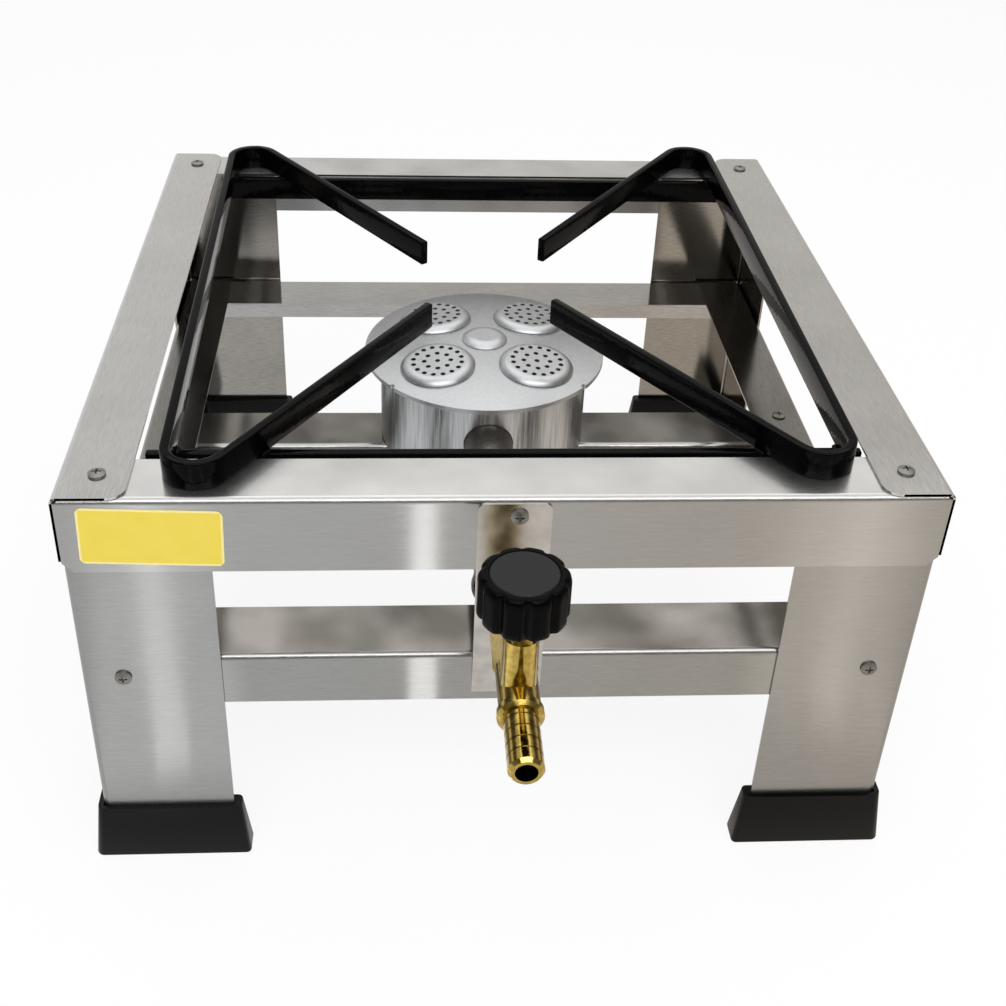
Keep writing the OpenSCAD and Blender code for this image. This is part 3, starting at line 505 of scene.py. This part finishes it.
# %% One function for grained finishes
def grained(
    name, dark, pale, grain_mm, smooth, rough, depth_mm, metallic=0.0, stretch=(1, 1, 1), shine=0.5
):
    """Finish with one grain: its colour, its roughness and its bump follow the same noise."""
    made, tree, place = start_material(name)
    stretched = add_node(tree, "ShaderNodeMapping", {"Vector": place, "Scale": stretch})
    grain = add_node(
        tree,
        "ShaderNodeTexNoise",
        {"Vector": stretched.outputs[0], "Scale": per_metre(grain_mm), "Detail": 2.0},
    )
    spread = add_node(
        tree,
        "ShaderNodeMapRange",
        {"Value": grain.outputs["Fac"], "From Min": 0.3, "From Max": 0.7},
    )
    tint = add_node(
        tree,
        "ShaderNodeMix",
        {FACTOR: spread.outputs[0], FIRST: colour(dark), SECOND: colour(pale)},
        data_type="RGBA",
    )
    gloss = add_node(
        tree,
        "ShaderNodeMapRange",
        {"Value": spread.outputs[0], "To Min": smooth, "To Max": rough},
    )
    bump = add_node(
        tree,
        "ShaderNodeBump",
        {"Height": grain.outputs["Fac"], "Strength": 1.0, "Distance": depth_mm * MM},
    )
    shader = add_node(
        tree,
        "ShaderNodeBsdfPrincipled",
        {
            "Base Color": tint.outputs[MIXED],
            "Metallic": metallic,
            "Roughness": gloss.outputs[0],
            "Specular IOR Level": shine,
            "Normal": bump.outputs[0],
        },
    )
    return finish_material(made, tree, shader.outputs[0])


# Baked black enamel on flat bar: deep black with hard, slightly broken highlights
BLACK_ENAMEL = grained("baked_black_enamel", "#030304", "#070708", 3, 0.06, 0.12, 0.1, shine=0.05)
# Sand-cast aluminium, machined: pale, dull and a little mottled
CAST_ALUMINIUM = grained(
    "sand_cast_aluminium", "#A9ABAD", "#B3B5B7", 2, 0.36, 0.44, 0.02, metallic=1.0
)
# The drum was turned, and its side shows the tool's upright marks
TURNED_ALUMINIUM = grained(
    "turned_aluminium", "#9A9C9E", "#CACCCD", 1.2, 0.28, 0.4, 0.04,
    metallic=1.0, stretch=(1, 1, 0.04)
)
# Polished brass: gold with hard dark and bright reflections
POLISHED_BRASS = grained(
    "polished_brass", "#977F3A", "#B8A158", 3, 0.1, 0.2, 0.03, metallic=1.0
)
# Phenolic moulding: near black, half dull, with a fine mould grain
PHENOLIC = grained("black_phenolic", "#020202", "#050505", 0.6, 0.2, 0.32, 0.03, shine=0.04)
# The knob's disc is a separate, greyer and duller moulding
DISC_PLASTIC = grained("grey_black_plastic", "#0F1012", "#141517", 0.6, 0.35, 0.5, 0.03, shine=0.2)
# Soft black plastic of the feet: dull, with a leathery mould grain
FOOT_PLASTIC = grained(
    "black_foot_plastic", "#060606", "#0B0B0B", 0.8, 0.28, 0.42, 0.04, shine=0.14
)
# Plain stainless screws and nuts, cold formed: small, grey and slightly mottled
FASTENER_STEEL = grained(
    "cold_formed_stainless", "#716F6B", "#8F8E8A", 0.5, 0.42, 0.56, 0.03, metallic=1.0
)
# Zinc-plated pipe, dulled and browned by the flame's heat
PIPE_STEEL = grained(
    "dulled_zinc_plated_pipe", "#6E6862", "#8C8882", 1.0, 0.35, 0.55, 0.04, metallic=1.0
)
# Polished strip: near mirror, with the sheet's faint waves
POLISHED_STEEL = grained(
    "mirror_polished_steel", "#A9A6A2", "#BDBAB6", 9, 0.16, 0.22, 0.02, metallic=1.0
)
# Nitrile rubber ring
SEAL_RUBBER = grained("nitrile_rubber", "#151515", "#1E1E1E", 0.4, 0.5, 0.65, 0.02)


# %% [markdown]
# ## Dress the frame
# Each node of the frame belongs to one of the record's finishes. The sheets are all
# stainless, but their grain runs different ways, and the ones that lie inside or behind
# show the mill's smoother polish. Some also carry painted light: paler tops on the cross
# rails, painted shade on the tops of the front brace and the burner bar, and a painted
# warm reflection on the back legs. So the sheets are sorted piece by piece, and
# everything else is sorted by its finish.

# %% Give every node its material
FINISHES = {
    BLACK_ENAMEL: [
        "left_hairpin", "right_hairpin", "grate_front_bar", "grate_back_bar",
    ],
    STAINLESS_RAIL: ["front_rail", "back_rail"],
    STAINLESS_SIDE: ["left_side_rail", "right_side_rail"],
    STAINLESS_BRACE: ["front_brace", "burner_bar"],
    STAINLESS_BACK: ["back_brace"],
    STAINLESS_LOW: ["left_brace", "right_brace"],
    STAINLESS_LEG: ["front_left_leg", "front_right_leg"],
    STAINLESS_FAR_LEG: ["back_left_leg", "back_right_leg"],
    FOOT_PLASTIC: ["front_left_foot", "front_right_foot", "back_left_foot", "back_right_foot"],
    FASTENER_STEEL: [
        "rail_screws", "rail_nuts", "leg_screws", "leg_nuts", "bar_screws", "bar_nuts",
        "burner_bolt", "bolt_washer", "bracket_screw", "bracket_nut", "knob_screw",
    ],
    TURNED_ALUMINIUM: ["burner_base"],
    CAST_ALUMINIUM: ["burner_cap"],
    PIPE_STEEL: ["mixing_tube"],
    POLISHED_STEEL: ["valve_bracket"],
    POLISHED_BRASS: [
        "valve_body", "valve_lock_nut", "injector", "hose_barb", "gland_nut", "valve_spindle",
    ],
    SEAL_RUBBER: ["spindle_seal"],
    PHENOLIC: ["knob"],
    DISC_PLASTIC: ["knob_disc"],
}


def dress(node, material):
    """Puts one material on a node of the frame."""
    mesh = NODES[node].data
    mesh.materials.clear()
    mesh.materials.append(material)


for material, names in FINISHES.items():
    for name in names:
        dress(name, material)


# %% [markdown]
# ## Copies of the frame with softer edges
# The frame's bars and feet have knife edges, because a plain solid has no reason to
# round them. On the real object every one of those edges was rolled or moulded round,
# and that rounding is what catches the light. So each of these pieces starts as a copy
# of its own node, which keeps it exactly in place, and only its edges are bevelled.
# A node's mesh is loose triangles, so the copy is merged before anything is bevelled.

# %% Helpers for copied pieces
DOUBLES = 0.002 * MM


def merged_copy(node):
    """Editable copy of a node, with its triangles merged and its flat faces made whole."""
    shape = bmesh.new()
    shape.from_mesh(NODES[node].data)
    bmesh.ops.remove_doubles(shape, verts=shape.verts, dist=DOUBLES)
    bmesh.ops.dissolve_limit(
        shape, angle_limit=math.radians(0.5), verts=shape.verts, edges=shape.edges
    )
    return shape


def sharp_edges(shape, least_degrees=50):
    """Edges at which two faces meet at a clear angle."""
    pairs = [edge for edge in shape.edges if len(edge.link_faces) == 2]
    return [edge for edge in pairs if edge.calc_face_angle() > math.radians(least_degrees)]


def round_off(shape, edges, radius_mm, segments=3):
    """Rounds edges with a bevel of several segments."""
    bmesh.ops.bevel(
        shape,
        geom=edges,
        offset=radius_mm * MM,
        offset_type="OFFSET",
        affect="EDGES",
        segments=segments,
        profile=0.5,
        material=-1,
        clamp_overlap=True,
    )


def add_piece(name, shape, material, body, *replaced):
    """Makes a finished shape an object that rides on a body and stands for some nodes."""
    mesh = bpy.data.meshes.new(name)
    shape.to_mesh(mesh)
    shape.free()
    mesh.materials.clear()
    mesh.materials.append(material)
    mesh.shade_smooth()
    mesh.set_sharp_from_angle(angle=math.radians(35))
    piece = bpy.data.objects.new(name, mesh)
    bpy.context.scene.collection.objects.link(piece)
    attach(piece, body)
    if replaced:
        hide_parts(*replaced)
    print("piece", name, "with", len(mesh.polygons), "faces")
    return piece


# %% [markdown]
# ## Moulded feet
# Each foot is a flared cap moulded in soft plastic. A mould can't fill a sharp corner,
# so the upright corners are well rounded and the rims a little. The upright edges go
# first, and then the rims, which by then run round the new corners in one loop.

# %% Make the feet
FOOT_CORNER_MM = 4.0
FOOT_END_MM = 2.6
FOOT_FLOOR_RIM_MM = 1.2
FOOT_TOP_RIM_MM = 0.9
NEAR = 0.1 * MM


def full_height(edge, low_z, high_z):
    """True for an edge that goes from a foot's floor to its top."""
    heights = sorted(vert.co.z for vert in edge.verts)
    return heights[0] < low_z + NEAR and heights[1] > high_z - NEAR


def from_middle(edge):
    """How far out an edge lies, counted along X and Y."""
    return abs(edge.verts[0].co.x) + abs(edge.verts[0].co.y - STAND_Y)


def rounded_foot(node):
    """Copy of a foot whose corners and rims are rounded."""
    shape = merged_copy(node)
    low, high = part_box(node)
    upright = [edge for edge in shape.edges if full_height(edge, low.z, high.z)]
    outermost = max(upright, key=from_middle)
    round_off(shape, [outermost], FOOT_CORNER_MM, 6)
    ends = [edge for edge in shape.edges if full_height(edge, low.z, high.z)]
    ends = [edge for edge in ends if edge.calc_face_angle() > math.radians(50)]
    round_off(shape, ends, FOOT_END_MM, 4)
    floor_rim, top_rim = [], []
    for edge in sharp_edges(shape):
        heights = [vert.co.z for vert in edge.verts]
        walls = [face for face in edge.link_faces if abs(face.normal.z) < 0.5]
        deep = any(min(vert.co.z for vert in face.verts) < low.z + NEAR for face in walls)
        if max(heights) < low.z + NEAR:
            floor_rim.append(edge)
        elif min(heights) > high.z - NEAR and deep:
            top_rim.append(edge)
    round_off(shape, top_rim, FOOT_TOP_RIM_MM, 3)
    floor_rim = [edge for edge in floor_rim if edge.is_valid]
    round_off(shape, floor_rim, FOOT_FLOOR_RIM_MM, 3)
    return shape


STAND_Y = sum(corner.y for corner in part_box("left_side_rail")) / 2
for corner in ("front_left", "front_right", "back_left", "back_right"):
    node = corner + "_foot"
    add_piece(corner + "_moulded_foot", rounded_foot(node), FOOT_PLASTIC, "stand", node)


# %% [markdown]
# ## Enamelled flat bar
# The grate is welded from flat bar whose rolled edges have a radius of about a
# millimetre. Under the thick enamel that edge shines in a thin broken line, all the
# way round the two hairpins.

# %% Make the grate's bars
BAR_EDGE_MM = 0.9

for node in ("left_hairpin", "right_hairpin", "grate_front_bar", "grate_back_bar"):
    bar = merged_copy(node)
    round_off(bar, sharp_edges(bar), BAR_EDGE_MM)
    add_piece(node.replace("grate_", "lower_") + "_enamelled", bar, BLACK_ENAMEL, "grate", node)


# %% [markdown]
# ## Weld beads
# Where a hairpin crosses the front or the back bar it is welded on both sides. A bead
# laid by hand is a short row of overlapping drops. Each drop is a small ball, pressed
# flat, and the places come from where the hairpin's own line crosses the bar.

# %% Make the weld beads
RUN_X = 156.5
HAIRPIN_RUN = (Vector((RUN_X, -171.75)), Vector((RUN_X, 171.75)))
ARM_STARTS = Vector((131, 179.7))
ARM_TIPS = {-1: Vector((35, 37.5)), 1: Vector((32, 37.5))}
BAR_MIDDLE_Y = 161.75
DROP_MM = 1.5
DROPS_PER_BEAD = 4
DROP_STEP_MM = 1.35
DROP_FLAT = (1, 1, 0.8)
BEAD_OUT_MM = 2.6
BEAD_UP_MM = 0.2
GRATE_SHIFT_MM = 1.5
RIGHT_BACK_MM = 1.0
LEFT_FORWARD_MM = 5.5
LEFT_TURN = math.radians(0.8)
BEAD_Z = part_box("left_hairpin")[0].z + BEAD_UP_MM * MM


def crossing(line, bar_y):
    """Point where a line crosses a bar, and the line's direction there."""
    run = (line[1] - line[0]).normalized()
    return line[0] + run * ((bar_y - line[0].y) / run.y), run


def placed(point, side):
    """A hairpin's own point, carried to where the right or the left hairpin was welded."""
    if side > 0:
        return point + Vector((GRATE_SHIFT_MM, RIGHT_BACK_MM))
    mirrored = Vector((RUN_X - point.x, point.y))
    mirrored.rotate(Matrix.Rotation(LEFT_TURN, 2))
    return mirrored + Vector((GRATE_SHIFT_MM - RUN_X, -LEFT_FORWARD_MM))


def weld_beads():
    """All beads of the grate in one shape."""
    shape = bmesh.new()
    for side in (-1, 1):
        for end in (-1, 1):
            arm = [Vector((point.x, end * point.y)) for point in (ARM_STARTS, ARM_TIPS[side])]
            for line in (HAIRPIN_RUN, arm):
                ends = [placed(point, side) for point in line]
                at, run = crossing(ends, end * BAR_MIDDLE_Y)
                across = Vector((-run.y, run.x))
                for flank in (-1, 1):
                    for drop in range(DROPS_PER_BEAD):
                        along = (drop - (DROPS_PER_BEAD - 1) / 2) * DROP_STEP_MM
                        spot = at + run * along + across * flank * BEAD_OUT_MM
                        place = Matrix.Translation(
                            (spot.x * MM, spot.y * MM + STAND_Y, BEAD_Z)
                        )
                        ball = bmesh.ops.create_icosphere(
                            shape, subdivisions=2, radius=DROP_MM * MM, matrix=place
                        )
                        bmesh.ops.scale(
                            shape,
                            verts=ball["verts"],
                            vec=DROP_FLAT,
                            space=Matrix.Translation(-place.translation),
                        )
    return shape


add_piece("grate_weld_beads", weld_beads(), BLACK_ENAMEL, "grate")


# %% [markdown]
# ## The fluted knob
# The knob is one moulding with ten soft lobes, a rounded rim that follows them, and a
# disc let into its top. Its profile is spun once round, with the hollow underneath and
# the bore for the spindle and its screw. Then each outer point moves in by the flutes'
# own curve, more towards the outside, so that the rim is scalloped and the bore stays round.

# %% Make the knob
LOBES = 10
FLUTE_DEEP_MM = 1.9
KNOB_LOW, KNOB_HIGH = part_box("knob")
KNOB_R_MM = (KNOB_HIGH.x - KNOB_LOW.x) / 2 / MM
KNOB_X = (KNOB_HIGH.x + KNOB_LOW.x) / 2
KNOB_Y = sum(corner.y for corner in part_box("knob_disc")) / 2
KNOB_TALL_MM = (KNOB_HIGH.z - KNOB_LOW.z) / MM
DISC_BED_MM = 14.9
SMOOTH_TO_MM = 15.4
DISC_BED_DEEP_MM = 1.8
SCREW_SEAT_R_MM, SCREW_SEAT_MM = 6.0, 14.5
SCREW_HOLE_R_MM = 1.7
SPINDLE_BORE_R_MM, SPINDLE_BORE_MM = 3.05, 13.0
HUB_R_MM = 6.0
HOLLOW_R_MM, HOLLOW_DEEP_MM = 14.8, 6.0
STEPS_PER_LOBE = 18
FLUTE_SHARPNESS = 5


def knob_profile():
    """Radius and height in millimetres of the knob's profile, once round it."""
    r, h = KNOB_R_MM, KNOB_TALL_MM
    low_edge = [(r - 1.4, 0), (r - 0.5, 0.4), (r, 1.4)]
    side = [(r, 4), (r, h - 6), (r, h - 3.4)]
    rim = [(r - 0.3, h - 2.2), (r - 0.9, h - 1.1), (r - 1.8, h - 0.4), (r - 2.8, h - 0.05)]
    lip = [(DISC_BED_MM + 0.5, h), (DISC_BED_MM + 0.1, h - 0.15)]
    bed = [(DISC_BED_MM, h - DISC_BED_DEEP_MM), (SCREW_SEAT_R_MM, h - DISC_BED_DEEP_MM)]
    seat = [(SCREW_SEAT_R_MM, SCREW_SEAT_MM), (SCREW_HOLE_R_MM, SCREW_SEAT_MM)]
    bore = [
        (SCREW_HOLE_R_MM, SPINDLE_BORE_MM),
        (SPINDLE_BORE_R_MM, SPINDLE_BORE_MM),
        (SPINDLE_BORE_R_MM, 0),
    ]
    hollow = [(HUB_R_MM, 0), (HUB_R_MM, HOLLOW_DEEP_MM), (HOLLOW_R_MM, HOLLOW_DEEP_MM)]
    return low_edge + side + rim + lip + bed + seat + bore + hollow + [(HOLLOW_R_MM, 0)]


def lobed_knob():
    """Profile spun round, with its outside drawn in at the flutes."""
    shape = bmesh.new()
    verts = [shape.verts.new((r * MM, 0, z * MM)) for r, z in knob_profile()]
    edges = [shape.edges.new((a, b)) for a, b in zip(verts, verts[1:] + verts[:1])]
    bmesh.ops.spin(
        shape,
        geom=verts + edges,
        cent=(0, 0, 0),
        axis=(0, 0, 1),
        angle=math.tau,
        steps=LOBES * STEPS_PER_LOBE,
        use_merge=True,
    )
    for vert in shape.verts:
        out = math.hypot(vert.co.x, vert.co.y) / MM
        if out > SMOOTH_TO_MM:
            turn = math.atan2(vert.co.y, vert.co.x)
            flute = (0.5 - 0.5 * math.cos(LOBES * turn)) ** FLUTE_SHARPNESS
            share = (out - SMOOTH_TO_MM) / (KNOB_R_MM - SMOOTH_TO_MM)
            keep = 1 - flute * FLUTE_DEEP_MM * share / out
            vert.co.x *= keep
            vert.co.y *= keep
    bmesh.ops.remove_doubles(shape, verts=shape.verts, dist=DOUBLES)
    bmesh.ops.recalc_face_normals(shape, faces=shape.faces)
    bmesh.ops.translate(shape, verts=shape.verts, vec=(KNOB_X, KNOB_Y, KNOB_LOW.z))
    return shape


add_piece("moulded_knob", lobed_knob(), PHENOLIC, "tap", "knob")


# %% [markdown]
# ## The sticker
# The real sticker carries printed words and a drawing. Here it stays blank: plain
# yellow vinyl with a paler border, drawn from the distance to the sticker's edges.

# %% Sticker material
STICKER_BORDER_MM = 0.8
BORDER_FADE_MM = 0.3
FADED_PATCH_MM = 12
STICKER_WIDE_MM = 63.4
STICKER_TALL_MM = 30
STICKER_TILT = math.radians(2)


def sticker_vinyl():
    """Yellow vinyl with a paler printed border."""
    middle = sum(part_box("front_sticker"), Vector()) / 2
    made, tree, place = start_material("yellow_vinyl")
    centred = add_node(
        tree, "ShaderNodeVectorMath", {0: place, 1: tuple(middle)}, operation="SUBTRACT"
    )
    level = add_node(
        tree,
        "ShaderNodeMapping",
        {"Vector": centred.outputs[0], "Rotation": (0, -STICKER_TILT, 0)},
    )
    parts = add_node(tree, "ShaderNodeSeparateXYZ", {0: level.outputs[0]})
    inside = []
    for axis, reach in (("X", STICKER_WIDE_MM / 2 * MM), ("Z", STICKER_TALL_MM / 2 * MM)):
        away = add_node(tree, "ShaderNodeMath", {0: parts.outputs[axis]}, operation="ABSOLUTE")
        inside.append(
            add_node(
                tree,
                "ShaderNodeMapRange",
                {
                    "Value": away.outputs[0],
                    "From Min": reach - (STICKER_BORDER_MM + BORDER_FADE_MM) * MM,
                    "From Max": reach - STICKER_BORDER_MM * MM,
                },
            )
        )
    edge = add_node(
        tree,
        "ShaderNodeMath",
        {0: inside[0].outputs[0], 1: inside[1].outputs[0]},
        operation="MAXIMUM",
    )
    fade = add_node(
        tree, "ShaderNodeTexNoise", {"Vector": place, "Scale": per_metre(FADED_PATCH_MM)}
    )
    yellow = add_node(
        tree,
        "ShaderNodeMix",
        {FACTOR: fade.outputs["Fac"], FIRST: colour("#EACF3A"), SECOND: colour("#EED850")},
        data_type="RGBA",
    )
    tint = add_node(
        tree,
        "ShaderNodeMix",
        {FACTOR: edge.outputs[0], FIRST: yellow.outputs[MIXED], SECOND: colour("#F6E9A0")},
        data_type="RGBA",
    )
    vinyl = add_node(
        tree, "ShaderNodeBsdfPrincipled", {"Base Color": tint.outputs[MIXED], "Roughness": 0.35}
    )
    return finish_material(made, tree, vinyl.outputs[0])


dress("front_sticker", sticker_vinyl())
